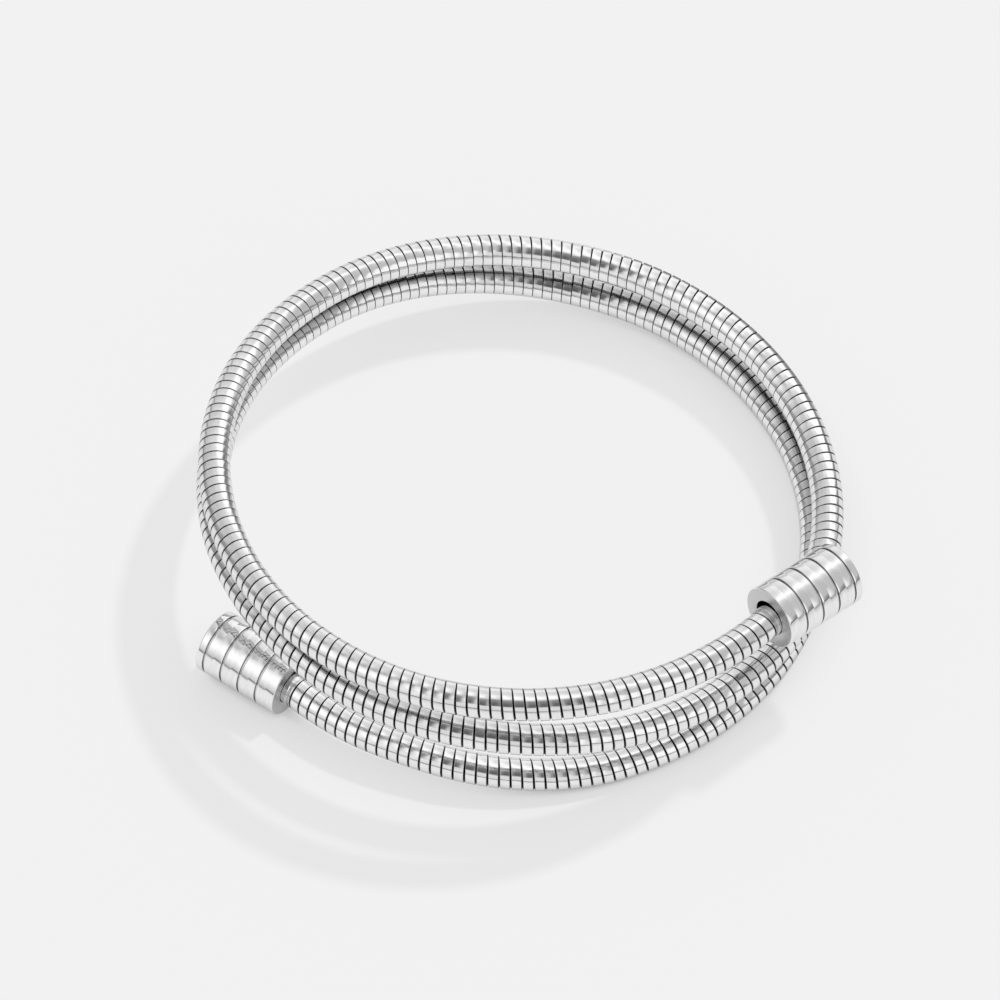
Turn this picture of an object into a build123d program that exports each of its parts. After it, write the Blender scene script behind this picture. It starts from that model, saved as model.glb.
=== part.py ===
from build123d import *
import math
import os
from collections import namedtuple

# Driving dimensions, millimetres and degrees
wrist_diameter = 59.0  # clear circle inside the coil
tube_diameter = 3.3
tube_wall = 0.5
cap_diameter = 6.75
cap_mouth_band = 2.2  # plain band beside the mouth
cap_band_pitch = 2.17  # from one turned groove to the next
cap_end_band = 0.97  # plain band beside the closed end
cap_groove_count = 4
groove_width = 0.2
groove_depth = 0.2
rim_chamfer = 0.12
mouth_gap = 0.06  # between the tube and the wide mouth of a cap's bore, where they are nearest
seat_gap = 0.04  # between the tube and the narrow seat of a cap's bore
seat_depth = 2.6  # from the mouth face to the seat
seat_length = 2.2
stub_end_gap = 0.1  # between the end of the tube and the bottom of the seat

# The tube leaves each cap in a slightly wider bend and then joins the coil
lead_length = 6.0
lead_radius = 36.0
cap_splay = 9.0  # each cap is turned this far outward from the tube that leaves it
upper_end_dip = 6.5  # the upper end dips this far toward its cap

# The coil runs clockwise and downward, from its upper end to its lower one
start_azimuth = -50.0
arc_span = 30  # azimuth between the points where the arcs of the tube join, to the nearest even share

rise_over_cap = 0.25  # share of what a cap stands proud of the tube that opens each turn

tube_radius = tube_diameter / 2
cap_radius = cap_diameter / 2
coil_radius = wrist_diameter / 2 + tube_radius
turn_rise = tube_diameter + rise_over_cap * (cap_diameter - tube_diameter)
cap_length = cap_mouth_band + (cap_groove_count - 1) * cap_band_pitch + cap_end_band
seat_radius = tube_radius + seat_gap
tube_shift = seat_depth * math.tan(math.radians(cap_splay / 2))  # off the cap's axis, at its mouth
mouth_radius = tube_radius + tube_shift + mouth_gap

# turned: azimuth from the start
# radius: share of the coil's mean radius
# lift: height over a turn that lies on the floor, as a share of the turn's rise
Station = namedtuple("Station", "turned radius lift")
on_floor = 0.0
on_cap = (cap_radius - tube_radius) / turn_rise
stations = [
    Station(turned=0, radius=1.0275, lift=3.75),
    Station(turned=60, radius=1.0275, lift=4.10),
    Station(turned=120, radius=1.0075, lift=3.65),
    Station(turned=180, radius=0.9975, lift=2.60),
    Station(turned=240, radius=0.9925, lift=1.60),
    Station(turned=300, radius=1.0000, lift=1.20),
    Station(turned=360, radius=1.0025, lift=1.70),
    Station(turned=420, radius=1.0025, lift=2.50),
    Station(turned=450, radius=1.0025, lift=2.55),
    Station(turned=480, radius=1.0150, lift=2.40),
    Station(turned=540, radius=1.0200, lift=1.40),
    Station(turned=600, radius=0.9975, lift=0.20),
    Station(turned=640, radius=0.9750, lift=on_floor),
    Station(turned=700, radius=0.9600, lift=on_floor),
    Station(turned=740, radius=0.9475, lift=on_floor),
    Station(turned=780, radius=0.9475, lift=0.35),
    Station(turned=799, radius=0.9700, lift=on_cap),
]


def smooth_slopes(values):
    """Slopes at the stations that make a smooth curve with no overshoot between them."""
    spans = [b.turned - a.turned for a, b in zip(stations, stations[1:])]
    rises = [(b - a) / span for a, b, span in zip(values, values[1:], spans)]
    slopes = [rises[0]]
    for span_in, span_out, rise_in, rise_out in zip(spans, spans[1:], rises, rises[1:]):
        weight_in = 2 * span_out + span_in
        weight_out = span_out + 2 * span_in
        steady = rise_in * rise_out > 0
        mean = (weight_in + weight_out) / (weight_in / rise_in + weight_out / rise_out) if steady else 0
        slopes.append(mean)
    return slopes + [rises[-1]]


def blend(values, slopes, turned):
    """Cubic blend between the two stations on either side."""
    k = 0
    while k < len(stations) - 2 and turned > stations[k + 1].turned:
        k += 1
    span = stations[k + 1].turned - stations[k].turned
    t = (turned - stations[k].turned) / span
    rise = 3 * t**2 - 2 * t**3
    slope_in = (t**3 - 2 * t**2 + t) * span * slopes[k]
    slope_out = (t**3 - t**2) * span * slopes[k + 1]
    return values[k] * (1 - rise) + values[k + 1] * rise + slope_in + slope_out


radii = [coil_radius * s.radius for s in stations]
heights = [tube_radius + turn_rise * s.lift for s in stations]
radius_slopes = smooth_slopes(radii)
height_slopes = smooth_slopes(heights)
height_slopes[0] = math.tan(math.radians(upper_end_dip)) * math.radians(radii[0])
height_slopes[-1] = 0  # the lower cap lies flat


def coil_point(turned):
    """Point on the middle line of the coil."""
    radius = blend(radii, radius_slopes, turned)
    height = blend(heights, height_slopes, turned)
    azimuth = math.radians(start_azimuth - turned)
    return Vector(radius * math.cos(azimuth), radius * math.sin(azimuth), height)


def coil_way(turned):
    """Direction of the middle line toward the lower end."""
    before = max(turned - 0.01, stations[0].turned)
    after = min(turned + 0.01, stations[-1].turned)
    return (coil_point(after) - coil_point(before)).normalized()


def joined_arcs(start, start_way, end, end_way):
    """Two arcs that leave start and reach end in the given directions and join smoothly."""
    gap = end - start
    a = 2 * (start_way.dot(end_way) - 1)
    b = -2 * gap.dot(start_way + end_way)
    c = gap.dot(gap)
    reach = (-b - math.sqrt(b * b - 4 * a * c)) / (2 * a)
    joint = (start + start_way * reach + end - end_way * reach) * 0.5
    joint_way = (end - end_way * reach - joint).normalized()
    return [Edge.make_tangent_arc(start, start_way, joint), Edge.make_tangent_arc(joint, joint_way, end)]


def level_bend(start, way, length, turn):
    """An arc that turns its direction about the vertical, the point that it reaches and its way there."""
    half_turn = math.radians(abs(turn)) / 2
    chord = length * math.sin(half_turn) / half_turn
    end = start + way.rotate(Axis.Z, turn / 2) * chord
    return Edge.make_tangent_arc(start, way, end), end, way.rotate(Axis.Z, turn)


def coil_end(start, way, inward):
    """The tube's last arcs and its stub inside a cap, and the plane of the cap's closed end."""
    lead_turn = math.degrees(lead_length / lead_radius)
    lead, mouth, mouth_way = level_bend(start, way, lead_length, inward * lead_turn)
    entry, seat, cap_way = level_bend(mouth, mouth_way, seat_depth, -inward * cap_splay)
    stub = Edge.make_line(seat, seat + cap_way * (seat_length - stub_end_gap))
    closed_end = seat + cap_way * (cap_length - seat_depth)
    return [lead, entry, stub], Plane(origin=closed_end, z_dir=-cap_way)


# Middle line of the tube, from one stub to the other
end_turned = stations[-1].turned
span_count = round(end_turned / arc_span)
stops = [end_turned * k / span_count for k in range(span_count + 1)]
coil_edges = []
for here, there in zip(stops, stops[1:]):
    coil_edges += joined_arcs(coil_point(here), coil_way(here), coil_point(there), coil_way(there))
upper_edges, upper_closed_end = coil_end(coil_point(0), -coil_way(0), inward=1)
lower_edges, lower_closed_end = coil_end(coil_point(end_turned), coil_way(end_turned), inward=-1)
middle_line = Wire(upper_edges + coil_edges + lower_edges)

# Flexible tube of the coil
with BuildPart() as flex_tube:
    with BuildSketch(Plane(origin=middle_line @ 0, z_dir=middle_line % 0)):
        Circle(tube_radius)
        Circle(tube_radius - tube_wall, mode=Mode.SUBTRACT)
    sweep(path=middle_line)


def make_cap(closed_end):
    """Turned cap on the plane of its closed end, with grooves round it and a stepped bore in its mouth."""
    with BuildPart() as cap:
        with BuildSketch(closed_end):
            Circle(cap_radius)
        extrude(amount=cap_length)
        chamfer(cap.edges().filter_by(GeomType.CIRCLE), rim_chamfer)
        for k in range(cap_groove_count):
            with BuildSketch(closed_end.offset(cap_end_band + k * cap_band_pitch)):
                Circle(cap_radius)
                Circle(cap_radius - groove_depth, mode=Mode.SUBTRACT)
            extrude(amount=groove_width / 2, both=True, mode=Mode.SUBTRACT)
        with BuildSketch(closed_end.offset(cap_length)):
            Circle(mouth_radius)
        extrude(amount=-seat_depth, mode=Mode.SUBTRACT)
        with BuildSketch(closed_end.offset(cap_length - seat_depth)):
            Circle(seat_radius)
        extrude(amount=-seat_length, mode=Mode.SUBTRACT)
    return cap


upper_end_cap = make_cap(upper_closed_end)  # clear of the turn below it
lower_end_cap = make_cap(lower_closed_end)  # flat on the floor

# The origin is on the floor, under the middle of the whole bracelet
box = Compound([flex_tube.part, upper_end_cap.part, lower_end_cap.part]).bounding_box()
to_origin = Location((-box.center().X, -box.center().Y, -box.min.Z))
for piece in (flex_tube, upper_end_cap, lower_end_cap):
    piece.part = piece.part.moved(to_origin)

flex_tube.part.label = "flex_tube"
upper_end_cap.part.label = "upper_end_cap"
lower_end_cap.part.label = "lower_end_cap"

os.makedirs("parts", exist_ok=True)
export_step(flex_tube.part, "parts/flex_tube.step")
export_step(upper_end_cap.part, "parts/upper_end_cap.step")
export_step(lower_end_cap.part, "parts/lower_end_cap.step")
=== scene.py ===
import math
import bpy
import numpy as np
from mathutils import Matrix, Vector


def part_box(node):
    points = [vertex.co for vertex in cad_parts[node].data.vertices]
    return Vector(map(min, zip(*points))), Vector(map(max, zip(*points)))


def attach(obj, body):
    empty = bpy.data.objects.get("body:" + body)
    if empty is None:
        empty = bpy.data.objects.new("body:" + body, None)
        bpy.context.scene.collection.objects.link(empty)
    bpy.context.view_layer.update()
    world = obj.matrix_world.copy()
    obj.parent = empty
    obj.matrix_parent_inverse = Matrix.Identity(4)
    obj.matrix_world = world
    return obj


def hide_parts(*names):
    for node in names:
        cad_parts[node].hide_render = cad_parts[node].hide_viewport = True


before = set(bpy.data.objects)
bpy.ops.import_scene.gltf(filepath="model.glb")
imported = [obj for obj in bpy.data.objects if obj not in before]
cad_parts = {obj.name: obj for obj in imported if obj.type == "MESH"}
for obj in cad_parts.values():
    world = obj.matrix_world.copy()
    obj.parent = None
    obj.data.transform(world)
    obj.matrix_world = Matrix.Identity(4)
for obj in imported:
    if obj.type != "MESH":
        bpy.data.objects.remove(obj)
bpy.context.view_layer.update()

MM = 0.001

# Dimensions of the bracelet, millimetres and degrees
WRIST = 59.0
TUBE_R = 1.65
CAP_R = 3.375
COIL_R = WRIST / 2 + TUBE_R
RISE_OVER_CAP = 0.25  # share of what a cap stands proud of the tube that opens each turn
TURN_RISE = 2 * TUBE_R + RISE_OVER_CAP * 2 * (CAP_R - TUBE_R)
ON_CAP = (CAP_R - TUBE_R) / TURN_RISE
START_AZIMUTH = -50.0
UPPER_DIP = 6.5  # the upper end dips this far toward its cap
LEAD_LENGTH = 6.0  # the tube leaves each cap in a bend of its own
LEAD_RADIUS = 36.0
CAP_SPLAY = 9.0  # each cap is turned this far outward from the tube that leaves it
SEAT_DEPTH = 2.6  # from a cap's mouth to the narrow seat of its bore
SEAT_LENGTH = 2.2
STUB_GAP = 0.1  # between the end of the tube and the bottom of the seat
MOUTH_BAND = 2.2  # plain band beside the mouth
BAND_PITCH = 2.17  # from one groove to the next
END_BAND = 0.97  # plain band beside the closed end
GROOVES = 4
CAP_LENGTH = MOUTH_BAND + (GROOVES - 1) * BAND_PITCH + END_BAND
SEAT_GAP = 0.04  # between the tube and the seat
MOUTH_GAP = 0.06  # between the tube and the wide mouth, where they are nearest
SEAT_R = TUBE_R + SEAT_GAP
MOUTH_R = TUBE_R + SEAT_DEPTH * math.tan(math.radians(CAP_SPLAY / 2)) + MOUTH_GAP

# Azimuth turned from the start, share of the coil's radius, share of the turn's rise
STATIONS = np.array([
    (0, 1.0275, 3.75), (60, 1.0275, 4.10), (120, 1.0075, 3.65), (180, 0.9975, 2.60),
    (240, 0.9925, 1.60), (300, 1.0000, 1.20), (360, 1.0025, 1.70), (420, 1.0025, 2.50),
    (450, 1.0025, 2.55), (480, 1.0150, 2.40), (540, 1.0200, 1.40), (600, 0.9975, 0.20),
    (640, 0.9750, 0.0), (700, 0.9600, 0.0), (740, 0.9475, 0.0), (780, 0.9475, 0.35),
    (799, 0.9700, ON_CAP),
])


def smooth_slopes(turned, values):
    """Slopes at the stations that make a smooth curve with no overshoot between them."""
    spans = np.diff(turned)
    rises = np.diff(values) / spans
    slopes = [rises[0]]
    for span_in, span_out, rise_in, rise_out in zip(spans, spans[1:], rises, rises[1:]):
        weight_in = 2 * span_out + span_in
        weight_out = span_out + 2 * span_in
        steady = rise_in * rise_out > 0
        mean = (weight_in + weight_out) / (weight_in / rise_in + weight_out / rise_out) if steady else 0.0
        slopes.append(mean)
    return np.array(slopes + [rises[-1]])


def blend(turned, values, slopes, at):
    """Cubic blend between the two stations on either side."""
    k = np.clip(np.searchsorted(turned, at) - 1, 0, len(turned) - 2)
    span = turned[k + 1] - turned[k]
    t = (at - turned[k]) / span
    rise = 3 * t**2 - 2 * t**3
    slope_in = (t**3 - 2 * t**2 + t) * span * slopes[k]
    slope_out = (t**3 - t**2) * span * slopes[k + 1]
    return values[k] * (1 - rise) + values[k + 1] * rise + slope_in + slope_out


def unit(vectors):
    """The vectors, scaled to a length of 1."""
    return vectors / np.linalg.norm(vectors, axis=-1, keepdims=True)


def turned_about_z(way, angle):
    """A way turned about the vertical, for one angle or for each of several."""
    cos, sin = np.cos(angle), np.sin(angle)
    return np.stack([way[0] * cos - way[1] * sin, way[0] * sin + way[1] * cos, way[2] + 0 * angle], -1)


def level_bend(start, way, length, turn, steps=24):
    """Points along a bend about the vertical, without its start, and the way at its end."""
    angles = np.radians(turn) * (np.arange(steps) + 0.5) / steps
    points = start + np.cumsum(turned_about_z(way, angles), axis=0) * length / steps
    return points, turned_about_z(way, np.radians(turn))


def coil_end(start, way, inward):
    """Points from the coil to the end of the tube inside a cap, and the cap's closed end.

    The closed end is given by its middle and the way from there toward the mouth.
    """
    lead_turn = math.degrees(LEAD_LENGTH / LEAD_RADIUS)
    lead, mouth_way = level_bend(start, way, LEAD_LENGTH, inward * lead_turn)
    entry, cap_way = level_bend(lead[-1], mouth_way, SEAT_DEPTH, -inward * CAP_SPLAY)
    stub = entry[-1] + cap_way * (SEAT_LENGTH - STUB_GAP)
    closed_end = entry[-1] + cap_way * (CAP_LENGTH - SEAT_DEPTH)
    return np.concatenate([lead, entry, [stub]]), closed_end, -cap_way


LINE_POINTS = 4001  # along the coil
WAY_REACH = 0.4  # the way at a point is taken over this much to either side of it


def middle_line():
    """Points along the middle of the tube, and the closed end of each cap."""
    turned = STATIONS[:, 0]
    radii = COIL_R * STATIONS[:, 1]
    heights = TUBE_R + TURN_RISE * STATIONS[:, 2]
    height_slopes = smooth_slopes(turned, heights)
    height_slopes[0] = math.tan(math.radians(UPPER_DIP)) * math.radians(radii[0])
    height_slopes[-1] = 0.0  # the lower cap lies flat
    at = np.linspace(0.0, turned[-1], LINE_POINTS)
    azimuth = np.radians(START_AZIMUTH - at)
    radius = blend(turned, radii, smooth_slopes(turned, radii), at)
    height = blend(turned, heights, height_slopes, at)
    coil = np.stack([radius * np.cos(azimuth), radius * np.sin(azimuth), height], 1)
    upper, upper_closed, upper_way = coil_end(coil[0], unit(coil[0] - coil[1]), 1)
    lower, lower_closed, lower_way = coil_end(coil[-1], unit(coil[-1] - coil[-2]), -1)
    points = np.concatenate([upper[::-1], coil, lower])
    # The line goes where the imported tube's box says
    way = unit(np.gradient(points, axis=0))
    reach = TUBE_R * np.sqrt(1 - way**2)
    centre = ((points + reach).max(0) + (points - reach).min(0)) / 2
    low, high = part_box("flex_tube")
    shift = (np.array(low) + np.array(high)) / 2 / MM - centre
    return points + shift, (upper_closed + shift, upper_way), (lower_closed + shift, lower_way)


line, upper_cap_end, lower_cap_end = middle_line()
along = np.concatenate([[0.0], np.cumsum(np.linalg.norm(np.diff(line, axis=0), axis=1))])
line_length = along[-1]


def frames(at):
    """Points on the middle line, with the way, the side and the upper side there."""
    def point_at(place):
        return np.stack([np.interp(place, along, line[:, i]) for i in range(3)], -1)

    way = unit(point_at(at + WAY_REACH) - point_at(at - WAY_REACH))
    up = unit(np.array([0.0, 0.0, 1.0]) - way * way[..., 2:3])
    return point_at(at), way, np.cross(way, up), up


def make_object(name, verts, faces, replaced):
    """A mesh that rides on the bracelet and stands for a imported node, from points in millimetres."""
    mesh = bpy.data.meshes.new(name)
    mesh.from_pydata((np.asarray(verts) * MM).tolist(), [], faces)
    mesh.update()
    mesh.polygons.foreach_set("use_smooth", [True] * len(mesh.polygons))
    piece = bpy.data.objects.new(name, mesh)
    bpy.context.collection.objects.link(piece)
    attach(piece, "root")
    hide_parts(replaced)
    return piece


# The tube is wound from one strip. Across the strip: place, radius over the tube's, lean of the
# surface in degrees, and how far into a seam. The strip is a little hollow and its edges are round.
STRIP_PITCH = 1.1
SEAM_DEPTH = 0.2
STRIP = np.array([
    (0.022, -0.045, -60.0, 0.75),
    (0.060, 0.000, 4.0, 0.0),
    (0.320, -0.006, 2.4, 0.0),
    (0.550, -0.009, 0.0, 0.0),
    (0.780, -0.006, -2.4, 0.0),
    (1.040, 0.000, -4.0, 0.0),
    (1.078, -0.045, 60.0, 0.75),
])
ROUND = 26
SEAM_HALF_WIDTH = 0.040  # on the side of the tube that the coil neither stretches nor squeezes
SEAM_OPENING = 0.036  # more on the outer side of the coil, less on the inner side
PITCH_SWING = 0.025  # the winding is a little longer at the front of the coil than at the back
TILT = 1.5  # degrees that the strip tilts about the tube, now here, now there
LEAN = 0.9  # degrees that it leans along the tube in the same way
TILT_SEED = 7
LEAN_SEED = 11
FIRST_SEAM = 0.4  # turns from the end of the tube
SEAM_V = 0.05  # millimetres of the strip's width that each side of a seam has in the texture


def winding():
    """The turn of the strip at each point along the tube."""
    front = -line[:, 1] / np.hypot(line[:, 0], line[:, 1])
    rate = 1 / (STRIP_PITCH * (1 + PITCH_SWING * front))
    steps = np.diff(along) * (rate[1:] + rate[:-1]) / 2
    return np.concatenate([[0.0], np.cumsum(steps)])


def uneven(seed, turns):
    """A function of the turn that wanders smoothly between about -2 and 2."""
    knots = np.random.default_rng(seed).normal(size=2 * turns + 8)

    def value(turn):
        place = 2 * turn + 2
        k = np.floor(place).astype(int)
        t = place - k
        t = t * t * (3 - 2 * t)
        return knots[k] * (1 - t) + knots[k + 1] * t

    return value


def strip_tube():
    """The wound strip as one mesh, with round edges and a sunk seam between its turns."""
    turn_along = winding()
    turns = int(turn_along[-1]) - 2
    each = len(STRIP) + 2
    rows = turns * each + 1
    row = np.arange(rows + each)
    profile = np.zeros((each, 5))  # place, share of the seam's half width, radius, lean, in the seam
    profile[:2] = [(0.0, -1.0, -SEAM_DEPTH, 0.0, 1.0), (0.0, 1.0, -SEAM_DEPTH, 0.0, 1.0)]
    profile[2:, 0] = STRIP[:, 0]
    profile[2:4, 1] = 1.0
    profile[-2:, 1] = -1.0
    profile[2:, 2:] = STRIP[:, 1:]
    place, share, out, lean, seam = profile[row % each].T
    tilt, lean_more = uneven(TILT_SEED, turns), uneven(LEAN_SEED, turns)
    verts, normals, seams, columns = [], [], [], []
    total = 0
    for col in range(ROUND):
        angle = 2 * math.pi * col / ROUND
        # Column 0 has the rows of one more turn, because each turn ends where the next one starts
        n = rows + each if col == 0 else rows
        turn = row[:n] // each + col / ROUND
        seam_at = np.interp(turn + FIRST_SEAM, turn_along, along)
        pitch = np.interp(turn + FIRST_SEAM + 1, turn_along, along) - seam_at
        point, way, side, up = frames(seam_at)
        radial = up * math.cos(angle) + side * math.sin(angle)
        outward = unit(point * [1, 1, 0])
        half_width = SEAM_HALF_WIDTH + SEAM_OPENING * (radial * outward).sum(1)
        at = seam_at + place[:n] * pitch / STRIP_PITCH + share[:n] * half_width
        point, way, side, up = frames(at)
        radial = up * math.cos(angle) + side * math.sin(angle)
        round_way = side * math.cos(angle) - up * math.sin(angle)
        leaned = np.radians(lean[:n] + LEAN * lean_more(turn) * (seam[:n] == 0))
        tilted = np.radians(TILT * tilt(turn))
        verts.append(point + radial * (TUBE_R + out[:n])[:, None])
        normals.append(unit(radial * np.cos(leaned)[:, None] + way * np.sin(leaned)[:, None]
                            + round_way * np.sin(tilted)[:, None]))
        seams.append(seam[:n])
        columns.append(total + np.arange(n))
        total += n
    columns.append(columns[0][each:])
    faces, uv = [], []
    turn = np.arange(rows - 1) // each
    v = np.append(profile[:, 0] + SEAM_V * profile[:, 1], STRIP_PITCH - SEAM_V) / STRIP_PITCH
    low, high = v[np.arange(rows - 1) % each], v[np.arange(rows - 1) % each + 1]
    for col in range(ROUND):
        here, there = columns[col], columns[col + 1]
        faces.append(np.stack([here[:rows - 1], there[:rows - 1], there[1:rows], here[1:rows]], 1))
        left, right = turn + col / ROUND, turn + (col + 1) / ROUND
        corners = [(left, low), (right, low), (right, high), (left, high)]
        uv.append(np.stack([np.stack(pair, 1) for pair in corners], 1))
    faces = np.concatenate(faces).tolist()
    # A disc closes each end, out of sight inside its cap
    first = [c[0] for c in columns[:ROUND]] + [columns[0][k] for k in range(each, 0, -1)]
    last = [c[rows - 1] for c in columns[:ROUND]]
    last += [columns[0][k] for k in range(rows - 1 + each, rows - 1, -1)]
    faces += [[int(k) for k in first[::-1]], [int(k) for k in last]]
    uv = np.concatenate([np.concatenate(uv).reshape(-1, 2), np.zeros((len(first) + len(last), 2))])
    piece = make_object("tube_strip", np.concatenate(verts), faces, "flex_tube")
    mesh = piece.data
    mesh.uv_layers.new(name="strip").data.foreach_set("uv", uv.astype(np.float32).ravel())
    in_seam = mesh.attributes.new("seam", "FLOAT", "POINT")
    in_seam.data.foreach_set("value", np.concatenate(seams).astype(np.float32))
    mesh.normals_split_custom_set_from_vertices(np.concatenate(normals).tolist())
    return piece


def corner(x, r, radius, first, last, steps):
    """Points round a corner of a half outline, between two angles in degrees."""
    for k in range(steps + 1):
        a = math.radians(first + (last - first) * k / steps)
        yield x + radius * math.cos(a), r + radius * math.sin(a)


def lathe(outline, around, place):
    """Points and faces of a turned form.

    place gives the points of a ring from its place along the axis, its radius and the angles.
    """
    verts, faces, rings = [], [], []
    for x, r in outline:
        angles = 2 * math.pi * np.arange(around if r > 0 else 1) / around
        rings.append(len(verts) + np.arange(len(angles)))
        verts += list(place(x, r, angles))
    for lower, upper in zip(rings, rings[1:]):
        for k in range(around):
            n = (k + 1) % around
            if len(lower) == 1:
                faces.append((lower[0], upper[k], upper[n]))
            elif len(upper) == 1:
                faces.append((lower[k], upper[0], lower[n]))
            else:
                faces.append((lower[k], upper[k], upper[n], lower[n]))
    return np.array(verts), [tuple(int(k) for k in face) for face in faces]


# Along the tube from a cap's mouth: where the rings start, inside, and where they end
RING_IN = -1.4
UPPER_RING_END = 0.70
LOWER_RING_END = 0.95
RING_SIDES = 72


def tube_ring(name, start, way_out, end):
    """A smooth ring round the end of the tube. It shows at the mouth of a cap."""
    outline = [(RING_IN, TUBE_R - 0.06), (RING_IN, TUBE_R)]
    outline += corner(end - 0.17, TUBE_R - 0.022, 0.034, 90, 20, 4)
    outline += [(end - 0.12, TUBE_R - 0.04), (end - 0.09, TUBE_R - 0.04)]
    outline += corner(end - 0.045, TUBE_R - 0.015, 0.03, 160, 0, 6)
    outline += [(end - 0.015, TUBE_R - 0.06), (RING_IN, TUBE_R - 0.06)]

    def place(x, r, angles):
        point, way, side, up = frames(np.array(start + way_out * x))
        return point + r * (np.cos(angles)[:, None] * side * way_out + np.sin(angles)[:, None] * up)

    verts, faces = lathe(outline, RING_SIDES, place)
    piece = make_object(name, verts, faces, "flex_tube")
    piece.data.set_sharp_from_angle(angle=math.radians(50))
    return piece


# One side of a groove, from the band to the bottom: place from the middle, and depth
GROOVE_SIDE = [(0.30, 0.0), (0.165, 0.0), (0.135, 0.010), (0.110, 0.040), (0.100, 0.20)]
# Each band has two halves with a faint line between them. The half toward the closed end is tapered.
TOOL_MARK = 0.006  # depth of the line
MARK_HALF_WIDTH = 0.03
TAPER = 0.012
# Radii of the edges
END_RIM = 0.2
MOUTH_RIM = 0.12
BORE_RIM = 0.06
CAP_SIDES = 112


def cap_outline():
    """Half outline of a cap, from the middle of its closed end to the bottom of its bore."""
    outline = [(0.0, 0.0), (0.0, 1.2), (0.0, 2.4)]
    outline += corner(END_RIM, CAP_R - END_RIM, END_RIM, 180, 90, 6)
    for k in range(GROOVES):
        middle = END_BAND + k * BAND_PITCH
        outline += [(middle - x, CAP_R - depth) for x, depth in GROOVE_SIDE]
        outline += [(middle + x, CAP_R - depth - TAPER * (1 - x)) for x, depth in GROOVE_SIDE[::-1]]
        half_way = middle + BAND_PITCH / 2
        outline += [(half_way - MARK_HALF_WIDTH, CAP_R), (half_way, CAP_R - TOOL_MARK),
                    (half_way + MARK_HALF_WIDTH, CAP_R)]
    outline += corner(CAP_LENGTH - MOUTH_RIM, CAP_R - MOUTH_RIM, MOUTH_RIM, 90, 0, 6)
    outline += [(CAP_LENGTH, 2.7)]
    outline += corner(CAP_LENGTH - BORE_RIM, MOUTH_R + BORE_RIM, BORE_RIM, 360, 270, 4)
    seat = CAP_LENGTH - SEAT_DEPTH
    outline += [(seat, MOUTH_R), (seat, SEAT_R), (seat - SEAT_LENGTH, SEAT_R), (seat - SEAT_LENGTH, 0.0)]
    return outline


def make_cap(name, closed_end, replaced):
    """A turned cap that stands out from the middle of its closed end."""
    origin, way = closed_end
    side = unit(np.cross(way, [0.0, 0.0, 1.0]))
    up = np.cross(side, way)

    def place(x, r, angles):
        return origin + way * x + r * (np.cos(angles)[:, None] * side + np.sin(angles)[:, None] * up)

    verts, faces = lathe(cap_outline(), CAP_SIDES, place)
    piece = make_object(name, verts, faces, replaced)
    piece.data.set_sharp_from_angle(angle=math.radians(38))
    # The cap's own space: across, across and along, in millimetres
    local = (verts - origin) @ np.stack([side, up, way], 1)
    turned = piece.data.attributes.new("turned", "FLOAT_VECTOR", "POINT")
    turned.data.foreach_set("vector", local.astype(np.float32).ravel())
    return piece


INSIDE_CAP = SEAT_DEPTH + SEAT_LENGTH - STUB_GAP  # length of the tube that each cap hides

tube = strip_tube()
upper_ring = tube_ring("tube_ring_upper", INSIDE_CAP, 1, UPPER_RING_END)
lower_ring = tube_ring("tube_ring_lower", line_length - INSIDE_CAP, -1, LOWER_RING_END)
upper_cap = make_cap("cap_upper", upper_cap_end, "upper_end_cap")
lower_cap = make_cap("cap_lower", lower_cap_end, "lower_end_cap")


STEEL = 0.65  # share of the light that the steel reflects
EDGE_TINT = 0.75  # and how much of that is left where it is seen edge on


def grey(level):
    """A plain grey, as a colour."""
    return (level, level, level, 1.0)


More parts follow.
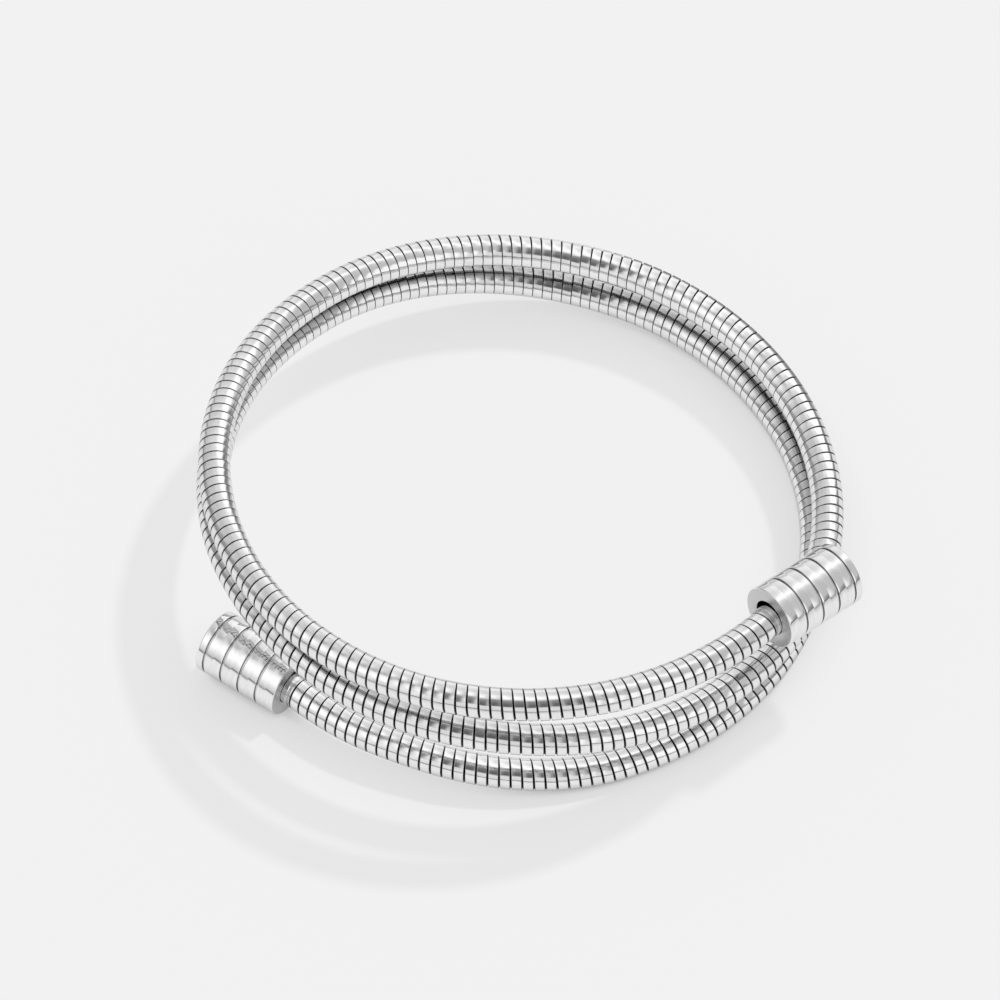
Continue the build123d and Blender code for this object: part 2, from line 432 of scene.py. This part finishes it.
class Tree:
    """Short calls that add nodes to a node tree and link them."""

    def __init__(self, tree):
        self.nodes = tree.nodes
        self.links = tree.links
        self.nodes.clear()

    def node(self, kind, inputs=None, **settings):
        """A new node, with its inputs by name or number, each a value or the socket that feeds it."""
        node = self.nodes.new(kind)
        for key, value in settings.items():
            setattr(node, key, value)
        for key, value in (inputs or {}).items():
            self.put(node.inputs[key], value)
        return node

    def put(self, socket, value):
        if isinstance(value, bpy.types.NodeSocket):
            self.links.new(value, socket)
        else:
            socket.default_value = value

    def math(self, operation, a, b=0.0):
        return self.node("ShaderNodeMath", {0: a, 1: b}, operation=operation).outputs[0]

    def range(self, value, low, high, to_low=0.0, to_high=1.0, kind="SMOOTHSTEP"):
        node = self.node("ShaderNodeMapRange", {"Value": value, "From Min": low, "From Max": high,
                                                "To Min": to_low, "To Max": to_high})
        node.interpolation_type = kind
        return node.outputs[0]

    def mix(self, factor, a, b):
        return self.node("ShaderNodeMix", {0: factor, 2: a, 3: b}, data_type="FLOAT").outputs[0]

    def vector(self, x=0.0, y=0.0, z=0.0):
        return self.node("ShaderNodeCombineXYZ", {0: x, 1: y, 2: z}).outputs[0]

    def noise(self, vector, scale=1.0, detail=2.0, roughness=0.5):
        return self.node("ShaderNodeTexNoise", {"Vector": vector, "Scale": scale, "Detail": detail,
                                                "Roughness": roughness}).outputs[0]

    def grey(self, value):
        return self.node("ShaderNodeCombineColor", {0: value, 1: value, 2: value}).outputs[0]

    def painted_crevice_shade(self, reach, least):
        """Painted shade: 1 in the open, less where a piece comes close to itself."""
        open_to = self.node("ShaderNodeAmbientOcclusion", {"Distance": reach}, samples=6,
                            only_local=True).outputs["AO"]
        return self.range(open_to, 0.40, 0.82, least, 1.0, "LINEAR")

    def metal(self, value, rough, height, bump_distance):
        """The tree's output: steel of the given grey and roughness, with a fine relief in metres."""
        bump = self.node("ShaderNodeBump", {"Height": height, "Strength": 0.3, "Distance": bump_distance})
        shader = self.node("ShaderNodeBsdfPrincipled", {"Base Color": self.grey(value), "Roughness": rough,
                                                        "Normal": bump.outputs[0]})
        shader.inputs["Metallic"].default_value = 1.0
        shader.inputs["Specular Tint"].default_value = grey(EDGE_TINT)
        self.node("ShaderNodeOutputMaterial", {"Surface": shader.outputs[0]})


def new_material(name):
    """An empty material and its node tree."""
    material = bpy.data.materials.new(name)
    material.use_nodes = True
    return material, Tree(material.node_tree)


def tube_steel():
    """Strip brushed along its seams, with finer lines across it, dark in its seams (a dark joint and painted
    shade) and with painted shade where its turns come close.
    """
    material, t = new_material("tube_steel_polished")
    uv = t.node("ShaderNodeUVMap", uv_map="strip").outputs[0]
    place = t.node("ShaderNodeSeparateXYZ", {0: uv})
    turn, across = place.outputs[0], place.outputs[1]
    seam = t.node("ShaderNodeAttribute", attribute_name="seam").outputs["Fac"]
    brushed = t.noise(t.vector(t.math("MULTIPLY", turn, 1.7), t.math("MULTIPLY", across, 7.0)), 1.0, 3.0, 0.6)
    lines = t.noise(t.vector(t.math("MULTIPLY", turn, 70.0), t.math("MULTIPLY", across, 0.8)), 1.0, 3.0, 0.6)
    slow = t.noise(t.vector(t.math("MULTIPLY", turn, 1.9), 5.0), 1.0, 1.0)
    value = t.math("ADD", t.range(lines, 0.3, 0.7, STEEL - 0.06, STEEL + 0.04, "LINEAR"),
                   t.range(slow, 0.3, 0.7, -0.025, 0.025, "LINEAR"))
    value = t.math("ADD", value, t.range(brushed, 0.3, 0.7, -0.02, 0.02, "LINEAR"))
    # Nearly black in the seams: the dark of the joint, and painted shade of the deep groove
    value = t.math("MULTIPLY", value, t.range(seam, 0.0, 1.0, 1.0, 0.015, "LINEAR"))
    # Painted shade where the turns of the tube come close to one another
    value = t.math("MULTIPLY", value, t.painted_crevice_shade(0.0055, 0.03))
    rough = t.math("ADD", t.range(brushed, 0.3, 0.7, 0.06, 0.13, "LINEAR"), t.math("MULTIPLY", seam, 0.3))
    height = t.math("ADD", t.math("MULTIPLY", lines, 0.5), t.math("MULTIPLY", brushed, 0.5))
    t.metal(value, rough, height, 0.00003)
    return material


def ring_steel():
    """Plain polished ring at the end of the tube."""
    material, t = new_material("tube_ring_polished")
    spot = t.node("ShaderNodeTexCoord").outputs["Object"]
    grain = t.noise(spot, 9000.0, 3.0, 0.6)
    value = t.range(grain, 0.3, 0.7, STEEL - 0.05, STEEL + 0.02, "LINEAR")
    rough = t.range(grain, 0.3, 0.7, 0.06, 0.12, "LINEAR")
    t.metal(value, rough, grain, 0.000008)
    return material


def cap_steel():
    """Turned steel: fine rings round the axis, with painted shade in the grooves, in the bore and in its
    other hollows.
    """
    material, t = new_material("cap_steel_turned")
    local = t.node("ShaderNodeAttribute", attribute_name="turned").outputs["Vector"]
    place = t.node("ShaderNodeSeparateXYZ", {0: local})
    across = t.vector(place.outputs[0], place.outputs[1])
    radius = t.node("ShaderNodeVectorMath", {0: across}, operation="LENGTH").outputs["Value"]
    # The rings follow the outline, so they change along the axis and along the radius
    step = t.math("ADD", place.outputs[2], radius)
    wavy = t.noise(local, 0.5, 1.0)
    ring_place = t.math("ADD", t.math("MULTIPLY", step, 6.0), t.math("MULTIPLY", wavy, 0.6))
    angle = t.math("ARCTAN2", place.outputs[0], place.outputs[1])
    round_place = t.vector(t.math("SINE", angle), t.math("COSINE", angle), ring_place)
    rings = t.noise(round_place, 1.0, 4.0, 0.65)
    along_side = t.math("MULTIPLY", t.range(place.outputs[2], 0.3, 0.35),
                        t.range(place.outputs[2], CAP_LENGTH - 0.35, CAP_LENGTH - 0.3, 1.0, 0.0))
    groove = t.math("MULTIPLY", along_side, t.range(radius, CAP_R - 0.13, CAP_R - 0.06, 1.0, 0.0))
    at_mouth = t.math("MULTIPLY", t.range(place.outputs[2], CAP_LENGTH - 0.08, CAP_LENGTH - 0.02),
                      t.range(radius, CAP_R - 0.12, CAP_R - 0.06, 1.0, 0.0))
    value = t.range(rings, 0.3, 0.7, STEEL - 0.05, STEEL + 0.06, "LINEAR")
    # Painted shade in the grooves
    value = t.math("MULTIPLY", value, t.range(groove, 0.0, 1.0, 1.0, 0.8, "LINEAR"))
    value = t.math("MULTIPLY", value, t.range(at_mouth, 0.0, 1.0, 1.0, 0.8, "LINEAR"))
    # Painted shade where the cap comes close to itself, in its bore and grooves
    value = t.math("MULTIPLY", value, t.painted_crevice_shade(0.002, 0.7))
    # Painted shade deep in the bore
    in_bore = t.math("MULTIPLY", t.range(place.outputs[2], 0.5, 0.6),
                     t.range(radius, MOUTH_R - 0.03, MOUTH_R + 0.02, 1.0, 0.0))
    value = t.math("MULTIPLY", value, t.range(in_bore, 0.0, 1.0, 1.0, 0.25, "LINEAR"))
    band = t.math("FRACT", t.math("DIVIDE", t.math("SUBTRACT", place.outputs[2], END_BAND), BAND_PITCH))
    dull_half = t.range(band, 0.48, 0.50, 1.0, 0.0)
    rough = t.range(rings, 0.3, 0.7, 0.02, 0.06, "LINEAR")
    rough = t.math("ADD", rough, t.math("MULTIPLY", dull_half, 0.12))
    rough = t.math("ADD", rough, t.math("MULTIPLY", at_mouth, 0.22))
    t.metal(value, rough, rings, 0.000009)
    return material


def dress(pieces, material):
    """Gives the pieces one material."""
    for piece in pieces:
        piece.data.materials.append(material)


dress([tube], tube_steel())
dress([upper_ring, lower_ring], ring_steel())
dress([upper_cap, lower_cap], cap_steel())

PALE = 0.887  # how bright the floor and the room behind it look
FLOOR_GLOW = 0.746  # the floor that shows glows too, which keeps its shadows light
FLOOR_TONE = 0.06  # share of the light on it that it reflects besides
MIRRORED_GLOW = 1.22  # the floor that the steel mirrors only glows
FAR_GLOW = 0.93  # the same, far from the bracelet
DARK_PATCH_SHARE = 0.35  # share of that glow that is left in the painted dark patch behind, to the right
SHADE_REACH = 0.007  # metres from the bracelet within which the glow is held back
FLOOR_HALF = 3.0  # metres


def make_floor():
    """A pale floor. The one that the camera sees takes shadows, the one that the steel mirrors glows."""
    corners = [(-1, -1), (1, -1), (1, 1), (-1, 1)]
    mesh = bpy.data.meshes.new("floor")
    mesh.from_pydata([(x * FLOOR_HALF, y * FLOOR_HALF, 0) for x, y in corners], [], [(0, 1, 2, 3)])
    floor = bpy.data.objects.new("floor", mesh)
    bpy.context.collection.objects.link(floor)
    material, t = new_material("floor_pale")
    shows = t.node("ShaderNodeLightPath").outputs["Is Camera Ray"]
    # Painted shade: where the bracelet is close, the glow is held back
    openness = t.node("ShaderNodeAmbientOcclusion", {"Distance": SHADE_REACH}, samples=8).outputs["AO"]
    shade = t.math("MINIMUM", t.range(openness, 0.0, 0.5, 0.15, 1.0),
                   t.range(openness, 0.3, 0.97, 0.87, 1.0, "LINEAR"))
    glow = t.math("MULTIPLY", shade, FLOOR_GLOW)
    # The mirrored floor falls off with distance, and a dark patch is painted into its glow behind, to the
    # right
    spot = t.node("ShaderNodeTexCoord").outputs["Object"]
    away = t.node("ShaderNodeVectorMath", {0: spot}, operation="LENGTH").outputs["Value"]
    part = t.node("ShaderNodeSeparateXYZ", {0: spot})
    azimuth = t.math("ARCTAN2", part.outputs[0], part.outputs[1])
    dark_patch = t.math("MULTIPLY", t.range(azimuth, math.radians(8), math.radians(20)),
                  t.range(azimuth, math.radians(46), math.radians(62), 1.0, 0.0))
    dark_patch = t.math("MULTIPLY", dark_patch, t.range(away, 0.034, 0.040))
    mirrored = t.math("MULTIPLY", t.range(away, 0.05, 0.25, MIRRORED_GLOW, FAR_GLOW),
                      t.range(dark_patch, 0.0, 1.0, 1.0, DARK_PATCH_SHARE))
    # Painted shade in the mirrored glow where the bracelet is close
    mirrored = t.math("MULTIPLY", mirrored, t.range(openness, 0.2, 0.95, 0.42, 1.0, "LINEAR"))
    seen_tone = t.grey(t.math("MULTIPLY", shows, FLOOR_TONE))
    shader = t.node("ShaderNodeBsdfPrincipled", {"Base Color": seen_tone, "Roughness": 1.0,
                                                 "Emission Color": grey(1.0),
                                                 "Emission Strength": t.mix(shows, mirrored, glow)})
    shader.inputs["Specular IOR Level"].default_value = 0.0
    t.node("ShaderNodeOutputMaterial", {"Surface": shader.outputs[0]})
    mesh.materials.append(material)


def direction(azimuth, elevation):
    """Way toward a light: azimuth from the back toward the right, degrees."""
    a, e = math.radians(azimuth), math.radians(elevation)
    return math.sin(a) * math.cos(e), math.cos(a) * math.cos(e), math.sin(e)


ROOM = 0.60  # level of its plain walls
LIGHT = 1.29  # all levels of the room are times this


def studio(world):
    """A grey room with bright softboxes, a light wall behind and a dark place for the viewer."""
    t = Tree(world.node_tree)
    way = t.node("ShaderNodeTexCoord").outputs["Generated"]
    part = t.node("ShaderNodeSeparateXYZ", {0: way})
    x, y, z = part.outputs[0], part.outputs[1], part.outputs[2]
    zenith = t.math("ARCCOSINE", z)  # angles in radians
    from_back = t.math("ARCTAN2", x, y)
    from_front = t.math("ARCTAN2", x, t.math("MULTIPLY", y, -1.0))

    def spot(centre, spread):
        """1 toward the centre, falling off over the spread in degrees."""
        dot = t.node("ShaderNodeVectorMath", {0: way, 1: direction(*centre)}, operation="DOT_PRODUCT")
        near = t.math("SUBTRACT", dot.outputs["Value"], 1.0)
        return t.math("EXPONENT", t.math("MULTIPLY", near, 1 / math.radians(spread)**2))

    def hump(value, centre, spread):
        """1 where a value in radians is at the centre, falling off over the spread in degrees."""
        off = t.math("DIVIDE", t.math("SUBTRACT", value, math.radians(centre)), math.radians(spread))
        return t.math("EXPONENT", t.math("MULTIPLY", t.math("MULTIPLY", off, off), -0.5))

    def between(value, low, low_full, high_full, high):
        """1 between the inner two angles in degrees, falling to 0 at the outer two."""
        low, low_full, high_full, high = map(math.radians, (low, low_full, high_full, high))
        return t.math("MULTIPLY", t.range(value, low, low_full), t.range(value, high_full, high, 1.0, 0.0))

    def patch(azimuth, zenith_share, share=1.0):
        """A patch of the room, from its reach across and its reach up and down."""
        return t.math("MULTIPLY", t.math("MULTIPLY", azimuth, zenith_share), share)

    level = t.mix(hump(from_back, 7.0, 23.0), ROOM, t.range(zenith, 0.8, 1.3, 0.80, 1.04))
    # Low wall in front, softboxes in front to the left and to the right
    level = t.mix(patch(between(from_front, -50, -32, 36, 50), between(zenith, 54, 60, 82, 87)), level, 0.84)
    level = t.mix(spot((243, 44), 18), level, 1.30)
    level = t.mix(patch(between(from_back, -112, -92, -30, -12), between(zenith, -1, 5, 20, 30)), level, 0.43)
    level = t.mix(patch(between(from_front, 24, 36, 62, 74), between(zenith, 42, 56, 80, 87)), level, 1.15)
    # A bar of light behind, to the right, from high up down to a dark stretch
    level = t.mix(spot((30, 79), 12), level, 1.25)
    level = t.mix(patch(hump(from_back, 33, 10.5), between(zenith, 6, 18, 73, 81)), level, 1.25)
    level = t.mix(spot((40, 30), 9), level, 1.5)
    level = t.mix(patch(hump(from_back, 42, 8), between(zenith, 77, 83, 112, 122), 0.85), level, 0.15)
    # Dark ring low on the left and on the right
    level = t.mix(patch(between(from_back, -98, -84, -60, -44), between(zenith, 64, 74, 84, 89)), level, 0.36)
    level = t.mix(patch(between(from_back, 74, 86, 102, 113), between(zenith, 74, 80, 90, 92)), level, 0.36)
    # Dark place from which the subject is viewed
    toward_viewer = t.math("ARCTAN2", t.math("MULTIPLY", y, -1.0), z)
    side = t.range(t.math("ABSOLUTE", x), 0.14, 0.34, 1.0, 0.0)
    dark = patch(between(toward_viewer, -2, 14, 51, 57), side)
    level = t.mix(dark, level, t.range(toward_viewer, 0.15, 0.75, 0.30, 0.14))
    # Dark line where the floor ends
    off_back = t.range(hump(from_back, 14, 20), 0.0, 1.0, 0.9, 0.0, "LINEAR")
    level = t.mix(patch(off_back, hump(zenith, 87.5, 2.6)), level, 0.2)
    seen = t.node("ShaderNodeLightPath").outputs["Is Camera Ray"]
    strength = t.mix(seen, t.math("MULTIPLY", level, LIGHT), PALE)
    background = t.node("ShaderNodeBackground", {"Color": grey(1.0), "Strength": strength})
    t.node("ShaderNodeOutputWorld", {"Surface": background.outputs[0]})


def aim(thing, toward):
    """Adds a light or camera that looks from the given way back to the origin."""
    thing.rotation_euler = Vector(toward).to_track_quat("Z", "Y").to_euler()
    bpy.context.collection.objects.link(thing)


SUN_LEVEL = 5.05
SUN_WIDTH = 4.5  # degrees across, which sets how soft the edge of the shadow is
SUN_AT = (50, 56)  # azimuth and elevation


def key_light():
    """A small sun, for the shadow."""
    sun = bpy.data.lights.new("key", "SUN")
    sun.energy = SUN_LEVEL
    sun.angle = math.radians(SUN_WIDTH)
    key = bpy.data.objects.new("key", sun)
    key.visible_glossy = False  # its own softbox is the bar behind
    aim(key, direction(*SUN_AT))


ELEVATION = 55.2
DISTANCE = 0.8999
PIXELS_PER_METRE = 9709.0  # at the origin
FRAME = 1000  # pixels across the picture
ORIGIN_AT = (526.9, 549.3)  # where the origin lies in the frame


def make_camera():
    """The camera of the photograph, in front and above."""
    data = bpy.data.cameras.new("camera")
    data.sensor_width = 36.0
    data.lens = PIXELS_PER_METRE * DISTANCE * data.sensor_width / FRAME
    data.shift_x = (FRAME / 2 - ORIGIN_AT[0]) / FRAME
    data.shift_y = (ORIGIN_AT[1] - FRAME / 2) / FRAME
    data.clip_end = 20.0
    camera = bpy.data.objects.new("camera", data)
    toward = direction(180, ELEVATION)
    camera.location = Vector(toward) * DISTANCE
    aim(camera, toward)
    bpy.context.scene.camera = camera


make_floor()
world = bpy.data.worlds.new("studio")
world.use_nodes = True
studio(world)
bpy.context.scene.world = world
key_light()
make_camera()
bpy.context.scene.view_settings.view_transform = "Standard"
